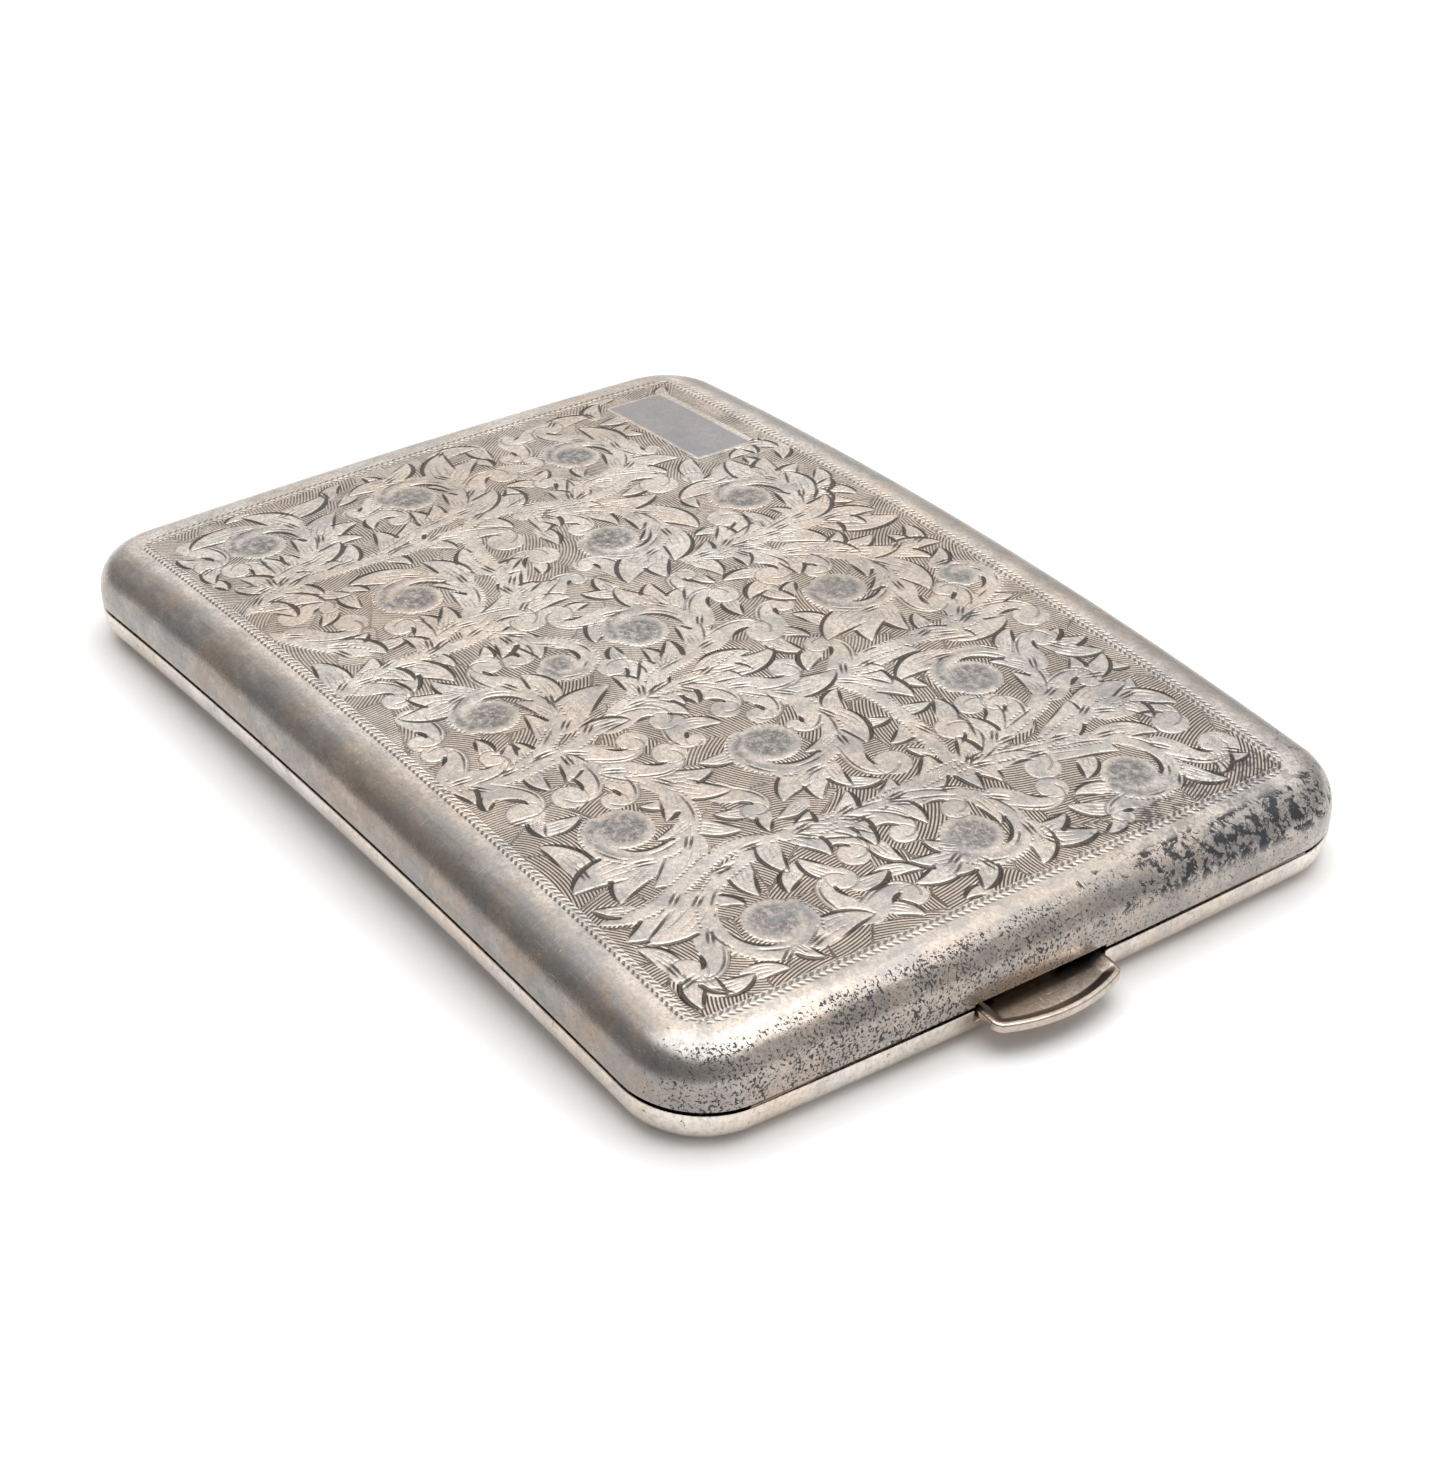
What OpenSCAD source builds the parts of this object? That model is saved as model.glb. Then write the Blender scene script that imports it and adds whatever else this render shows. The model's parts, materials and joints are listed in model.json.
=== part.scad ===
// Business card case: two pressed silver shells, curved along their length, hinged at one short
// end and held shut by a sprung thumb catch at the other.
// +X points from the hinge to the thumb piece, +Z is up, the case rests on z = 0. Millimetres.

/* [Case] */
// Length of the shells over the two short ends
case_l = 100; // [94:0.5:110]
// Width of the shells over the two long sides
case_w = 69; // [64:0.5:74]
// Radius of the four plan corners
corner_r = 7; // [5:0.5:9]
// Thickness of the sheet
sheet_t = 0.6; // [0.5:0.05:0.8]
// Sine of the slope at which the two ends of the curved case dip
end_dip = 0.07584; // [0.05:0.00001:0.1]
// Open seam between the lid and the base
seam = 0.2; // [0.1:0.05:0.4]

/* [Lid] */
// Height of the upright edge band of the lid above the seam line
lid_band = 0.95; // [0.6:0.05:1.5]
// Radius of the rolled edge of the lid
lid_roll = 4.2; // [3:0.1:4.5]

/* [Base] */
// Depth of the upright edge band of the base below the seam line
base_band = 0.5; // [0.4:0.05:1.2]
// Radius of the rolled edge of the base
base_roll = 3.1; // [3:0.1:4.5]
// Depth worn flat along the two lines that the base rests on
wear = 0.03; // [0.01:0.01:0.08]

/* [Rim] */
// Thickness of the inner rim strips
rim_t = 0.6; // [0.4:0.05:0.8]
// Height of the inner rim strips above the seam line
rim_h = 0.8; // [0.5:0.05:1.2]
// Gap between the inner rim strips and the lid
rim_gap = 0.2; // [0.15:0.01:0.3]

/* [Hinge] */
// Length of the hinge
hinge_l = 48; // [36:1:52]
// Radius of the knuckles
knuckle_r = 1; // [0.8:0.05:1.2]
// Radius of the hinge pin
pin_r = 0.5; // [0.35:0.05:0.6]
// Radial clearance between pin and knuckles
pin_fit = 0.05; // [0.03:0.01:0.1]
// Gap between one knuckle and the next
knuckle_gap = 0.15; // [0.1:0.05:0.3]
// Thickness of the two hinge bearers
bearer_t = 0.4; // [0.3:0.05:0.6]

/* [Catch] */
// Place of the thumb piece along the front edge
thumb_y = -0.8; // [-3:0.1:3]
// Width of the thumb piece
thumb_w = 12.5; // [10:0.5:16]
// How far the thumb piece stands out from the front edge
thumb_out = 3.8; // [2.5:0.1:5]
// Thickness of the thumb piece
thumb_t = 0.85; // [0.6:0.05:1.2]
// Radius of the outer edge of the thumb piece
thumb_arc = 14; // [10:0.5:30]
// Radius of the two outer corners of the thumb piece
thumb_corner = 1.2; // [0.8:0.1:2]
// Inward travel of the thumb piece
thumb_travel = 0.8; // [0.5:0.05:1]

/* [Hidden] */
$fn = 128;
theta = asin(end_dip);
bend_r = (case_l / 2 - corner_r) / end_dip;
lid_d = lid_band + lid_roll;
base_d = base_band + base_roll;
roll_x = corner_r - base_roll;
bend_z = base_roll - wear - (bend_r - base_band) * cos(theta) + roll_x * sin(theta);
axis_x = corner_r + 0.1;
channel_r = knuckle_r + 0.25;
bearer_r = channel_r + bearer_t;
channel_l = hinge_l + 1.6;
knuckle_n = 7;
knuckle_l = (hinge_l - (knuckle_n - 1) * knuckle_gap) / knuckle_n;
inner_x = corner_r - sheet_t;
inner_y = case_w / 2 - sheet_t;
floor_z = -base_d + sheet_t;
front_x = bend_r * sin(theta) + (corner_r + thumb_out) * cos(theta) - 0.1 * sin(theta);
rear_x = bend_r * sin(theta) + axis_x * cos(theta) + knuckle_r;
shift_x = -(front_x - rear_x) / 2;
guide_in = thumb_w / 2 + 1.8;
bar_x = corner_r - 1.8;
bar_t = 0.6;
spring_r = 12;
spring_t = 0.25;
thumb_top = -0.1;

// Frame whose origin is on the seam, at the bend axis.
module at_bend() translate([shift_x, 0, bend_z]) children();

// Frame at the start of the straight front end: x outward, z square to the seam.
module at_front() at_bend() rotate([0, theta, 0]) translate([0, 0, bend_r]) children();

// The same frame at the rear end, mirrored so that x is outward again.
module at_rear() at_bend() mirror([1, 0, 0])
    rotate([0, theta, 0]) translate([0, 0, bend_r]) children();

// Outline of a closed tray w wide, with an upright band and rolled edges.
module tray_outline(w, band, roll, low) intersection() {
    union() {
        translate([roll - w / 2, low]) square([w - 2 * roll, band + roll - low]);
        translate([-w / 2, low]) square([w, band - low]);
        for (s = [-1, 1]) translate([s * (w / 2 - roll), band]) circle(roll);
    }
    translate([-w / 2, low]) square([w, band + roll - low]);
}

// Section through the sheet of such a tray, open below.
module tray_section(w, band, roll) difference() {
    tray_outline(w, band, roll, seam / 2);
    tray_outline(w - 2 * sheet_t, band, roll - sheet_t, -1);
}

// Outer half of the section, from the corner centre to the edge.
module edge_section(band, roll) intersection() {
    tray_section(2 * corner_r, band, roll);
    translate([0, -2]) square([2 * corner_r, 20]);
}

// Sweeps a section along the bend, its x becoming the distance from the bend axis.
module sweep_bend() at_bend() intersection() {
    rotate([0, -90, -90]) rotate([0, 0, -theta - 1])
        rotate_extrude(angle = 2 * theta + 2, $fn = 720) children();
    rotate([90, 0, 0]) translate([0, 0, -case_w]) linear_extrude(2 * case_w)
        polygon([[0, 0], [1000 * end_dip, 1000 * cos(theta)],
                 [-1000 * end_dip, 1000 * cos(theta)]]);
}

// One straight end of a tray with its two rounded corners.
module end_cap(band, roll) {
    straight = case_w - 2 * corner_r;
    translate([0, straight / 2, 0]) rotate([90, 0, 0]) linear_extrude(straight)
        edge_section(band, roll);
    for (s = [0, 1]) mirror([0, s, 0]) translate([0, straight / 2, 0])
        rotate_extrude(angle = 90) edge_section(band, roll);
}

// Bar with a given section in x and z, len long in y, centred on y = mid.
module bar_y(len, mid = 0) translate([0, mid + len / 2, 0]) rotate([90, 0, 0])
    linear_extrude(len) children();

module block(x0, x1, y0, y1, z0, z1) translate([x0, y0, z0]) cube([x1 - x0, y1 - y0, z1 - z0]);

module hinge_channel() bar_y(channel_l) translate([axis_x, 0]) circle(bearer_r);

module base_shell() color("Silver") difference() {
    union() {
        sweep_bend() translate([bend_r, 0]) rotate(90)
            tray_section(case_w, base_band, base_roll);
        at_front() mirror([0, 0, 1]) end_cap(base_band, base_roll);
        at_rear() mirror([0, 0, 1]) end_cap(base_band, base_roll);
    }
    // Channel for the hinge
    at_rear() hinge_channel();
    // Notch for the thumb piece
    at_front() block(5.6, 8, thumb_y - thumb_w / 2 - 0.3, thumb_y + thumb_w / 2 + 0.3,
                     thumb_top - thumb_t - 0.3, 1);
    // Wear flats
    translate([-case_l, -case_w, -5]) cube([2 * case_l, 2 * case_w, 5]);
}

module lid_shell() color("Silver") difference() {
    union() {
        sweep_bend() translate([bend_r, 0]) rotate(-90)
            tray_section(case_w, lid_band, lid_roll);
        at_front() end_cap(lid_band, lid_roll);
        at_rear() end_cap(lid_band, lid_roll);
    }
    at_rear() hinge_channel();
    // Relief above the thumb piece
    at_front() block(6, 8, thumb_y - thumb_w / 2 - 0.2, thumb_y + thumb_w / 2 + 0.2, -1, 0.45);
}

// Section of a rim strip: the foot is on the wall of the base, the lip stands inside the lid.
// x is measured inward from the inner face of the wall.
module rim_section() polygon([[0, -base_band], [0, -seam / 2], [rim_gap, -seam / 2],
                              [rim_gap, rim_h], [rim_t, rim_h], [rim_t, -base_band]]);

module rim_left() color("Silver") sweep_bend() translate([bend_r, -inner_y])
    rotate(-90) mirror([1, 0]) rim_section();

module rim_right() color("Silver") sweep_bend() translate([bend_r, inner_y])
    rotate(-90) rim_section();

module rim_front(y0, y1) color("Silver") at_front()
    bar_y(y1 - y0, (y0 + y1) / 2) translate([inner_x, 0]) mirror([1, 0]) rim_section();

module rim_front_left() rim_front(corner_r - case_w / 2, thumb_y - guide_in - 3);

module rim_front_right() rim_front(thumb_y + guide_in + 3, case_w / 2 - corner_r);

// Quarter trough that closes the shell behind the hinge and carries its knuckles.
module bearer() bar_y(channel_l) translate([axis_x, 0]) intersection() {
    difference() {
        circle(bearer_r);
        circle(channel_r);
    }
    translate([-3, seam / 2]) square([3, 3]);
}

module base_bearer() color("LightGray") at_rear() mirror([0, 0, 1]) bearer();

module lid_bearer() color("LightGray") at_rear() bearer();

// Knuckle i of the row, with a foot that is soldered to the bearer on the side s.
module knuckle(i, s) color("LightGray") at_rear()
    bar_y(knuckle_l, -hinge_l / 2 + knuckle_l / 2 + (i - 1) * (knuckle_l + knuckle_gap))
    translate([axis_x, 0]) difference() {
        union() {
            circle(knuckle_r);
            intersection() {
                circle(channel_r);
                polygon([[0, 0], [-3, s * 0.6], [-3, s * 3], [-0.6, s * 3]]);
            }
        }
        circle(pin_r + pin_fit);
    }

module knuckle_1() knuckle(1, -1);
module knuckle_2() knuckle(2, 1);
module knuckle_3() knuckle(3, -1);
module knuckle_4() knuckle(4, 1);
module knuckle_5() knuckle(5, -1);
module knuckle_6() knuckle(6, 1);
module knuckle_7() knuckle(7, -1);

module hinge_pin() color("DimGray") at_rear() bar_y(hinge_l) translate([axis_x, 0])
    circle(pin_r);

module pin_cap(s) color("LightGray") at_rear() bar_y(0.5, s * (hinge_l / 2 + 0.25))
    translate([axis_x, 0]) circle(knuckle_r - 0.1);

module pin_cap_left() pin_cap(-1);
module pin_cap_right() pin_cap(1);

// Plan of the thumb piece: a shallow arc with two rounded corners, and a stem behind it.
module thumb_plan() {
    big_x = corner_r + thumb_out - thumb_arc;
    side = thumb_w / 2 - thumb_corner;
    small_x = sqrt(pow(thumb_arc - thumb_corner, 2) - side * side);
    far = 2 * thumb_arc / small_x;
    translate([big_x, 0]) {
        intersection() {
            circle(thumb_arc);
            polygon([[0, 0], [far * small_x, -far * side], [far * small_x, far * side]]);
            translate([bar_x - big_x, -20]) square([40, 40]);
        }
        translate([bar_x - big_x, -thumb_w / 2])
            square([small_x - bar_x + big_x, thumb_w]);
        for (s = [-1, 1]) translate([small_x, s * side]) circle(thumb_corner);
    }
}

module thumb_piece() color("Silver") at_front() translate([0, thumb_y, 0]) difference() {
    translate([0, 0, thumb_top - thumb_t]) linear_extrude(thumb_t) thumb_plan();
    // Hollow for the thumb
    translate([corner_r + 1.75, 0, thumb_top + 5.6]) rotate([90, 0, 0])
        translate([0, 0, -thumb_w / 2 + 0.9]) cylinder(r = 5.9, h = thumb_w - 1.8);
}

module catch_bar() color("DarkGray") at_front() translate([0, thumb_y, 0]) {
    block(bar_x - bar_t, bar_x, -guide_in + 0.15, guide_in - 0.15, -2.2, -0.2);
    block(bar_x - bar_t, bar_x, -3, 3, -0.2, 1.6);
    // Nose that holds the keeper lip
    block(bar_x, bar_x + 0.5, -3, 3, 1.15, 1.6);
    // Runners between the guides
    for (s = [-1, 1]) block(bar_x - 2.4, bar_x - bar_t, s * (guide_in - 0.45) - 0.3,
                            s * (guide_in - 0.45) + 0.3, -2.2, -0.2);
}

module catch_spring() color("DimGray") at_front() translate([0, thumb_y, -2])
    linear_extrude(1.2) translate([bar_x - bar_t - spring_r, 0]) intersection() {
        difference() {
            circle(spring_r);
            circle(spring_r - spring_t);
        }
        translate([0, -guide_in + 1.6]) square([20, 2 * guide_in - 3.2]);
        translate([0, -20]) square([spring_r, 40]);
    }

module spring_rivet(s) color("LightGray") at_front()
    translate([bar_x - bar_t - spring_t - 0.05, thumb_y + s * 0.9, -1.4])
    rotate([0, -90, 0]) cylinder(r = 0.4, h = 0.3);

module spring_rivet_left() spring_rivet(-1);
module spring_rivet_right() spring_rivet(1);

module latch_guide(s) color("LightGray") at_front() translate([0, thumb_y, 0])
    block(1.6, roll_x, min(s * guide_in, s * (guide_in + 1.2)),
          max(s * guide_in, s * (guide_in + 1.2)), floor_z, -0.3);

module latch_guide_left() latch_guide(-1);
module latch_guide_right() latch_guide(1);

module latch_cover() color("LightGray") at_front() translate([0, thumb_y, 0])
    block(1.1, 1.6, -guide_in - 1.2, guide_in + 1.2, floor_z, -0.3);

module keeper_lip() color("LightGray") at_front() translate([0, thumb_y, 0])
    block(inner_x - 0.4, inner_x, -4, 4, 0.5, 0.9);

base_shell();
lid_shell();
rim_left();
rim_right();
rim_front_left();
rim_front_right();
base_bearer();
lid_bearer();
knuckle_1();
knuckle_2();
knuckle_3();
knuckle_4();
knuckle_5();
knuckle_6();
knuckle_7();
hinge_pin();
pin_cap_left();
pin_cap_right();
thumb_piece();
catch_bar();
catch_spring();
spring_rivet_left();
spring_rivet_right();
latch_guide_left();
latch_guide_right();
latch_cover();
keeper_lip();
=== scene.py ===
import json
from math import asin, atan2, cos, hypot, pi, radians, sin, sqrt

import bmesh
import bpy
import numpy as np
from mathutils import Matrix, Vector


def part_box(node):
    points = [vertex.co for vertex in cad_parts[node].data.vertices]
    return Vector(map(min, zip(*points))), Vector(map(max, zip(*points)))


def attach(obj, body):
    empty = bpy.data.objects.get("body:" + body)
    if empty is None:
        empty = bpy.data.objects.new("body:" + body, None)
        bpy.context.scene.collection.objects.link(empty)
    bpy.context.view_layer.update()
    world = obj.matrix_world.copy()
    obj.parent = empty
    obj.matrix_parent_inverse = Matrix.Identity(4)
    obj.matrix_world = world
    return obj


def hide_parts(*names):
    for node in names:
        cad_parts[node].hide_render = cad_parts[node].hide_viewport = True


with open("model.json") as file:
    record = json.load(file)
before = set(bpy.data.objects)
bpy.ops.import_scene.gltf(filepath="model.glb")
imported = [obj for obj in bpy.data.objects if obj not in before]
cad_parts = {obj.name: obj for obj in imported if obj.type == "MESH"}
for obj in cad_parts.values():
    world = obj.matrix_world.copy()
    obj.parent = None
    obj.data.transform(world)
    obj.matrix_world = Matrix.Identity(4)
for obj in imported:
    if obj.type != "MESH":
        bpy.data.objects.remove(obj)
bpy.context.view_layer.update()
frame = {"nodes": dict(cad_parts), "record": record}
MM = 0.001

# ---- engraving: fields over the plan of the lid, in millimetres ----
STEP = 0.1                         # pitch of the grid that holds the fields
FX0, FY0 = -46.0, -31.0            # its first point
NX, NY = 921, 621
FIELD_X, FIELD_Y = 44.0, 28.5      # half size of the part with the ornament
BORDER_X, BORDER_Y = 45.0, 29.5    # half size of the pricked border
PRICK, HATCH_PITCH = 0.62, 0.3
gx = FX0 + STEP * np.arange(NX)
gy = FY0 + STEP * np.arange(NY)
leaf = np.full((NY, NX), -3.0)     # how far inside the raised ornament
cut = np.full((NY, NX), -3.0)      # how far inside a graver's cut
dots = np.full((NY, NX), -3.0)     # how far inside a dot of a dotted outline
fine = np.full((NY, NX), -3.0)     # how far inside a fine outline
boss = np.full((NY, NX), -3.0)     # how far inside a plain boss
rnd = np.random.default_rng(5)


def brush(field, pts, width, reach=0.5):
    """Draws a path of varying half width: the field holds the half width less the distance."""
    pts = np.asarray(pts, float)
    width = np.broadcast_to(np.asarray(width, float), len(pts))
    for (ax, ay), (bx, by), wa, wb in zip(pts[:-1], pts[1:], width[:-1], width[1:]):
        m = max(wa, wb) + reach
        i0 = max(int((min(ax, bx) - m - FX0) / STEP), 0)
        i1 = min(int((max(ax, bx) + m - FX0) / STEP) + 2, NX)
        j0 = max(int((min(ay, by) - m - FY0) / STEP), 0)
        j1 = min(int((max(ay, by) + m - FY0) / STEP) + 2, NY)
        if i0 >= i1 or j0 >= j1:
            continue
        x, y = gx[None, i0:i1] - ax, gy[j0:j1, None] - ay
        dx, dy = bx - ax, by - ay
        t = np.clip((x * dx + y * dy) / (dx * dx + dy * dy + 1e-9), 0, 1)
        d = wa + (wb - wa) * t - np.hypot(x - t * dx, y - t * dy)
        np.maximum(field[j0:j1, i0:i1], d, out=field[j0:j1, i0:i1])


def ornament(pts, width):
    """Adds to the raised ornament."""
    brush(leaf, pts, width, 2.4)


def disc(field, x, y, r):
    brush(field, [(x, y), (x + 0.01, y)], r, 2.4 if field is leaf else 0.5)


def at(field, x, y):
    """The field's value at the grid point nearest to x, y."""
    i = min(max(int(round((x - FX0) / STEP)), 0), NX - 1)
    j = min(max(int(round((y - FY0) / STEP)), 0), NY - 1)
    return field[j, i]


def within(x, y, rim=0.0):
    """Whether a point is on the field, at least rim from its edge."""
    return abs(x) < FIELD_X - rim and abs(y) < FIELD_Y - rim


def side(pts, off):
    """A path moved sideways by off (to its left where positive)."""
    pts = np.asarray(pts, float)
    t = np.gradient(pts, axis=0)
    t /= np.hypot(t[:, 0], t[:, 1])[:, None] + 1e-9
    return pts + np.stack([-t[:, 1], t[:, 0]], 1) * np.broadcast_to(off, len(pts))[:, None]


def walk(x, y, angles, length):
    """The path that starts at x, y and keeps to the given headings, in equal steps."""
    s = length / (len(angles) - 1)
    px = x + s * np.concatenate([[0], np.cumsum(np.cos(angles[:-1]))])
    py = y + s * np.concatenate([[0], np.cumsum(np.sin(angles[:-1]))])
    return np.stack([px, py], 1)


def swell(n, most, least=0.02, peak=0.5):
    """Half widths of a graver's cut: thin, thick at its peak and thin again."""
    u = np.linspace(0, 1, n)
    u = np.where(u < peak, 0.5 * u / peak, 0.5 + 0.5 * (u - peak) / (1 - peak))
    return least + most * np.sin(pi * u)


def graver(field, pts, width, over=0.3):
    """A cut or a fine line, left out where it would run across ornament that is there already."""
    width = np.broadcast_to(np.asarray(width, float), len(pts))
    free = [at(leaf, x, y) < over for x, y in pts]
    for k in range(len(pts) - 1):
        if free[k] and free[k + 1]:
            brush(field, pts[k:k + 2], width[k:k + 2])


def dotted(pts, pitch=0.46, r=0.115, skip=0.3):
    """Dots along a path, left out where a cut is closer than skip."""
    pts = np.asarray(pts, float)
    s = np.concatenate([[0], np.cumsum(np.hypot(*np.diff(pts, axis=0).T))])
    for d in np.arange(pitch / 2, s[-1], pitch):
        x, y = np.interp(d, s, pts[:, 0]), np.interp(d, s, pts[:, 1])
        if at(cut, x, y) < -skip:
            disc(dots, x, y, r)


def lobe(x, y, a, length, bend, fat=0.21, room=0.15, strokes=(0.15, 0.09)):
    """One pointed lobe of a leaf, with a dark cut along each edge towards its tip."""
    mid = walk(x, y, a + bend * np.linspace(0, 1, 11), length)
    if not (within(*mid[-1]) and at(leaf, *mid[-1]) < -room and at(leaf, *mid[7]) < -room * 0.3):
        return False
    u = np.linspace(0, 1, 11)
    w = fat * length * np.sin(pi * (0.2 + 0.8 * u) ** 0.9) ** 0.8 + 0.03
    outer = -np.sign(bend) if bend else 1
    for s, most, lo in ((outer, strokes[0], 1), (-outer, strokes[1], 3)):
        edge = side(mid, s * w)[lo:]
        graver(cut, edge, swell(len(edge), most * rnd.uniform(0.5, 1.3), 0.035, 0.6))
    if length > 2.6:
        for k in (-0.42, 0.1, 0.5):
            vein = side(mid, k * w)[1:7]
            brush(fine, vein, swell(6, 0.05, 0.01, 0.35))
    ornament(mid, w)
    return True


def dashes(x, y, a, length=2.2, gap=0.2):
    """The pair of short strokes at the foot of a leaf."""
    for k in (-gap, gap):
        ox, oy = x - k * sin(a), y + k * cos(a)
        brush(cut, walk(ox, oy, np.full(6, a), length), swell(6, 0.09, 0.01))


def curl(x, y, a, length, turn, r, room=0.2):
    """A leaf that ends in a round curl: a long neck, and a fine line round its head."""
    u = np.linspace(0, 1, 22)
    mid = walk(x, y, a - turn * 0.35 * np.sin(pi * u) + turn * 2.9 * u ** 2.4, length)
    hx, hy = mid[-1]
    if not within(hx, hy, r) or at(leaf, hx, hy) > -r * 0.55 - room:
        return False
    if at(leaf, *mid[11]) > 0.5 and at(leaf, *mid[16]) > 0.3:
        return False
    w = 0.85 * (1 - u) + 0.5
    outer = side(mid, -turn * w)
    graver(fine, outer[3:], 0.09)
    echo = side(mid, -turn * (w - 0.38))[2:17]
    graver(cut, echo, swell(len(echo), 0.07, 0.01, 0.6), 0.8)
    ornament(mid, w)
    disc(leaf, hx, hy, r)
    h0 = atan2(outer[-1, 1] - hy, outer[-1, 0] - hx)
    ang = h0 + turn * np.linspace(0, 4.6, 24)
    ring = np.stack([hx + r * np.cos(ang), hy + r * np.sin(ang)], 1)
    brush(fine, ring, np.linspace(0.08, 0.05, 24))
    # the thick cut between the head and its own neck
    nip = side(mid, turn * w)[6:17]
    brush(cut, nip, swell(len(nip), 0.14 * rnd.uniform(0.7, 1.3), 0.02, 0.45))
    return True


def spray(x, y, a, size, s):
    """Pointed lobes that leave a stem together and turn outwards one after another."""
    got = False
    for k, (fan, part) in enumerate(((0.05, 1.2), (0.55, 1.05), (1.1, 0.82))):
        ox, oy = x - 0.7 * k * cos(a), y - 0.7 * k * sin(a)
        got = lobe(ox, oy, a + s * fan, size * part, s * 0.95, 0.23) or got
    if got:
        dashes(x - 0.9 * cos(a), y - 0.9 * sin(a), a + s * 0.15, 2.0)
    return got


def frond(x, y, a, size, turn):
    """A leaf with a curled end and two pointed lobes on its outer side."""
    if not curl(x, y, a, size * 1.25, turn, size * 0.28 * rnd.uniform(0.85, 1.1)):
        return spray(x, y, a, size * 0.9, -turn)
    lobe(x, y, a - turn * 0.6, size * 0.95, -turn * 0.7, 0.23)
    lobe(x - 0.7 * cos(a), y - 0.7 * sin(a), a - turn * 1.15, size * 0.78, -turn * 0.7, 0.23)
    dashes(x - 1.0 * cos(a), y - 1.0 * sin(a), a, 2.0)
    return True


def bezier(p0, p1, p2, p3, n=24):
    """A smooth curve from p0 to p3 that leaves towards p1 and arrives from p2."""
    t = np.linspace(0, 1, n)[:, None]
    p0, p1, p2, p3 = (np.array(p, float) for p in (p0, p1, p2, p3))
    return (1 - t) ** 3 * p0 + 3 * (1 - t) ** 2 * t * p1 + 3 * (1 - t) * t * t * p2 + t ** 3 * p3


def winding(root, heading, centre, rb, out, turn, start, sweep):
    """A vine that leaves its root, swings out to a circle and winds in to a boss."""
    t = np.linspace(0, 1, 40)
    ang = start * pi / 180 + turn * sweep * t
    r = out + (rb - 0.35 - out) * t ** 0.8
    coil = np.stack([centre[0] + r * np.cos(ang), centre[1] + r * np.sin(ang)], 1)
    reach = hypot(coil[0, 0] - root[0], coil[0, 1] - root[1]) * 0.42
    h = heading * pi / 180
    e = atan2(coil[1, 1] - coil[0, 1], coil[1, 0] - coil[0, 0])
    lead = bezier(root, (root[0] + reach * cos(h), root[1] + reach * sin(h)),
                  (coil[0, 0] - reach * cos(e), coil[0, 1] - reach * sin(e)), coil[0], 16)
    return np.concatenate([lead[:-1], coil])


# stems: the corner points of curves that the scrolls grow from
STEMS = [
    ((9.0, -29.0), (13.0, -25.0), (11.0, -18.0), (8.5, -13.0)),
    ((8.5, -13.0), (5.5, -8.0), (9.5, -4.0), (6.5, 2.5)),
    ((29.5, -12.0), (33.0, -5.0), (28.5, 3.0), (31.0, 10.0)),
    ((31.0, 10.0), (33.5, 16.0), (28.0, 20.0), (31.0, 26.5)),
    ((-7.5, -29.0), (-12.0, -24.0), (-7.0, -18.0), (-10.0, -12.0)),
    ((-25.5, -28.5), (-30.5, -21.0), (-25.0, -12.0), (-28.0, -4.0)),
    ((-28.0, -4.0), (-30.0, 1.0), (-23.0, 6.0), (-26.5, 12.5)),
    ((-10.0, -12.0), (-12.0, -5.0), (-22.0, -9.0), (-28.0, -4.0)),
    ((-10.5, 7.0), (-6.0, 12.0), (-12.0, 18.0), (-7.0, 25.5)),
    ((15.0, 6.5), (10.0, 12.0), (16.0, 18.0), (12.0, 26.5)),
    ((29.5, -12.0), (27.0, -18.0), (34.0, -22.0), (31.5, -28.5)),
    ((-21.0, -28.5), (-17.0, -27.0), (-15.0, -25.5), (-12.5, -23.5)),
    ((14.5, 5.5), (18.0, 8.5), (24.0, 7.0), (29.5, 6.5)),
]
# root, heading, boss centre, boss radius, outer radius, turn, start angle, sweep
SCROLLS = [
    ((10.4, -20.0), 80, (22.3, -20.6), 2.6, 7.2, -1, 150, 5.0),
    ((10.4, -23.0), 100, (2.6, -20.6), 2.5, 6.2, 1, 20, 4.6),
    ((7.6, -7.0), 85, (19.0, -4.2), 2.7, 7.4, -1, 150, 5.0),
    ((8.0, -10.0), 105, (-1.6, -3.0), 2.6, 6.6, 1, 350, 4.7),
    ((31.0, 6.0), 100, (20.8, 15.8), 2.6, 7.2, 1, 355, 4.8),
    ((31.0, 9.0), 85, (38.6, 17.6), 2.5, 5.6, -1, 180, 4.4),
    ((30.2, -7.0), 80, (38.0, 1.6), 2.6, 6.0, -1, 175, 4.7),
    ((30.6, -14.5), 290, (38.2, -17.6), 2.6, 5.6, 1, 205, 4.5),
    ((-9.4, -20.0), 95, (-18.4, -15.6), 2.6, 6.8, 1, 355, 4.8),
    ((-27.6, -14.0), 100, (-36.4, -5.6), 2.6, 6.6, 1, 350, 4.8),
    ((-28.0, -25.0), 100, (-36.8, -21.4), 2.5, 6.4, 1, 355, 4.6),
    ((-26.2, 0.5), 60, (-17.2, 4.4), 2.6, 6.6, -1, 170, 4.8),
    ((-25.6, 5.0), 110, (-34.2, 11.4), 2.5, 6.0, 1, 345, 4.6),
    ((-9.4, 10.0), 100, (-16.6, 19.0), 2.5, 6.2, 1, 355, 4.7),
    ((-9.2, 11.0), 70, (2.4, 15.4), 2.6, 7.0, -1, 170, 4.9),
    ((-9.0, -14.0), 60, (-1.0, -11.6), 1.7, 4.0, -1, 165, 4.2),
    ((12.6, 20.0), 95, (7.0, 25.6), 1.7, 3.6, 1, 0, 3.9),
]
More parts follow.
